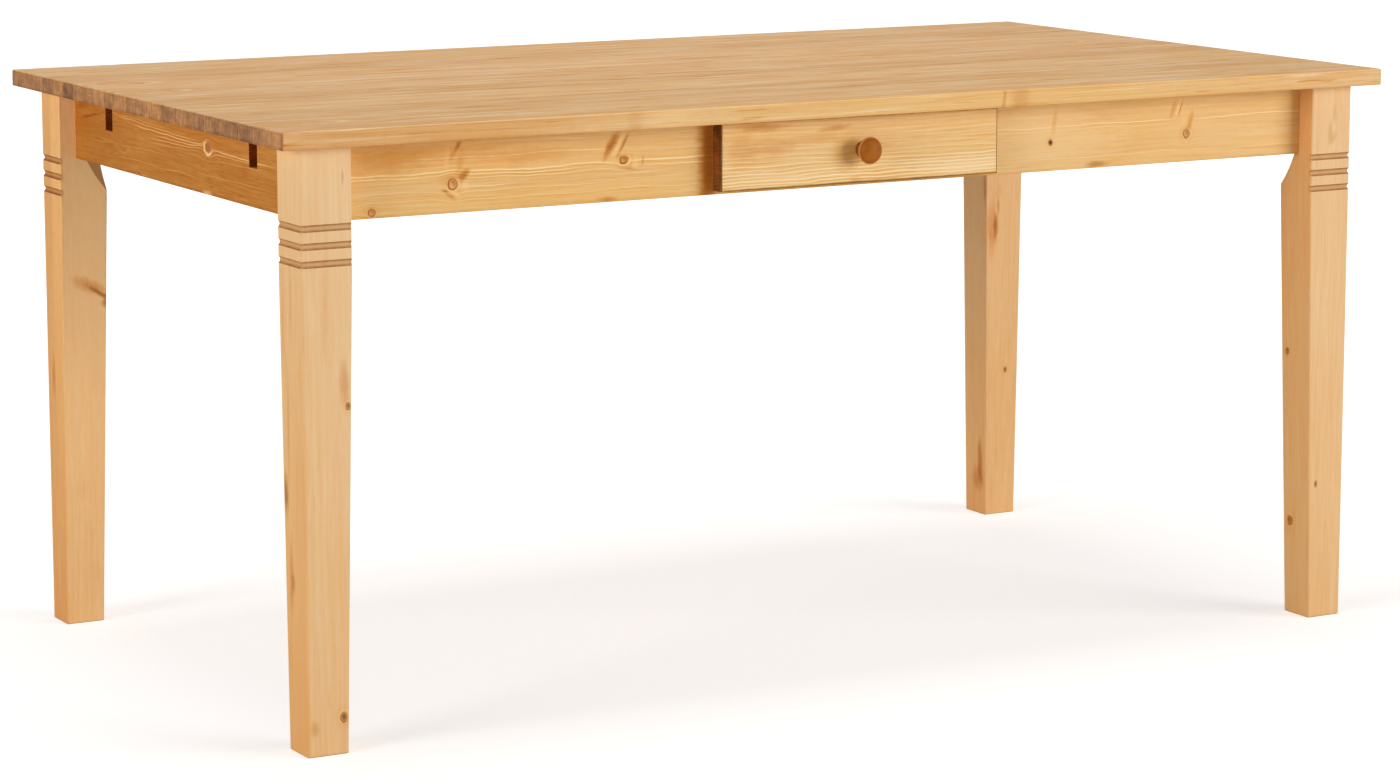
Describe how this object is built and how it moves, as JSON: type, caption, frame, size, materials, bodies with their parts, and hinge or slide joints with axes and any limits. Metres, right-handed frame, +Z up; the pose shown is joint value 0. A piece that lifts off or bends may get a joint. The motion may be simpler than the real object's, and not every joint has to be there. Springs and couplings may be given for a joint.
{
  "type": "farmhouse dining table with drawer",
  "caption": "Rectangular pine dining table on square tapered legs with ringed grooves, with a knobbed drawer in one long apron and leaf-bearer slots in the end aprons.",
  "frame": {"origin": "middle of the table at floor level", "axes": "+X along the length, the drawer faces -Y, +Z up"},
  "size_m": [1.63, 0.912, 0.762],
  "materials": {
    "pine_top": "satin lacquered knotty pine, honey",
    "pine_leg": "satin lacquered pine, pale honey",
    "pine_apron": "satin lacquered knotty pine, yellow honey",
    "pine_drawer_front": "satin lacquered clear pine",
    "pine_inner": "sanded pine, unlacquered",
    "drawer_panel": "plain plywood",
    "knob_wood": "satin stained hardwood, warm brown",
    "beech_dowel": "plain beech",
    "zinc_steel": "zinc plated"
  },
  "bodies": {
    "table": {"back_apron": "pine_apron", "bracket_screws_apron": "zinc_steel", "bracket_screws_top": "zinc_steel", "corner_block_back_left": "pine_inner", "corner_block_back_right": "pine_inner", "corner_block_front_left": "pine_inner", "corner_block_front_right": "pine_inner", "corner_block_screws": "zinc_steel", "cross_rail_left": "pine_inner", "cross_rail_right": "pine_inner", "drawer_guide_left": "pine_inner", "drawer_guide_right": "pine_inner", "drawer_kicker": "pine_inner", "drawer_runner_left": "pine_inner", "drawer_runner_right": "pine_inner", "front_apron": "pine_apron", "hanger_bolts": "zinc_steel", "kicker_screws": "zinc_steel", "left_end_apron": "pine_apron", "leg_back_left": "pine_leg", "leg_back_right": "pine_leg", "leg_front_left": "pine_leg", "leg_front_right": "pine_leg", "leg_nuts": "zinc_steel", "leg_washers": "zinc_steel", "rail_dowels": "beech_dowel", "right_end_apron": "pine_apron", "runner_screws": "zinc_steel", "tabletop_board_1": "pine_top", "tabletop_board_2": "pine_top", "tabletop_board_3": "pine_top", "tabletop_board_4": "pine_top", "tabletop_board_5": "pine_top", "tabletop_board_6": "pine_top", "tabletop_board_7": "pine_top", "tabletop_board_8": "pine_top", "tabletop_brackets": "zinc_steel"},
    "drawer": {"drawer_front": "pine_drawer_front", "drawer_box_front": "pine_inner", "drawer_back": "pine_inner", "drawer_side_left": "pine_inner", "drawer_side_right": "pine_inner", "drawer_bottom": "drawer_panel", "drawer_knob": "knob_wood", "knob_screw": "zinc_steel", "drawer_front_screws": "zinc_steel", "drawer_dowels": "beech_dowel", "drawer_stop_pins": "beech_dowel"}
  },
  "joints": [
    {"name": "drawer_slide", "type": "slide", "parent": "table", "child": "drawer", "axis": [0, -1, 0], "range_m": [0, 0.26]}
  ]
}
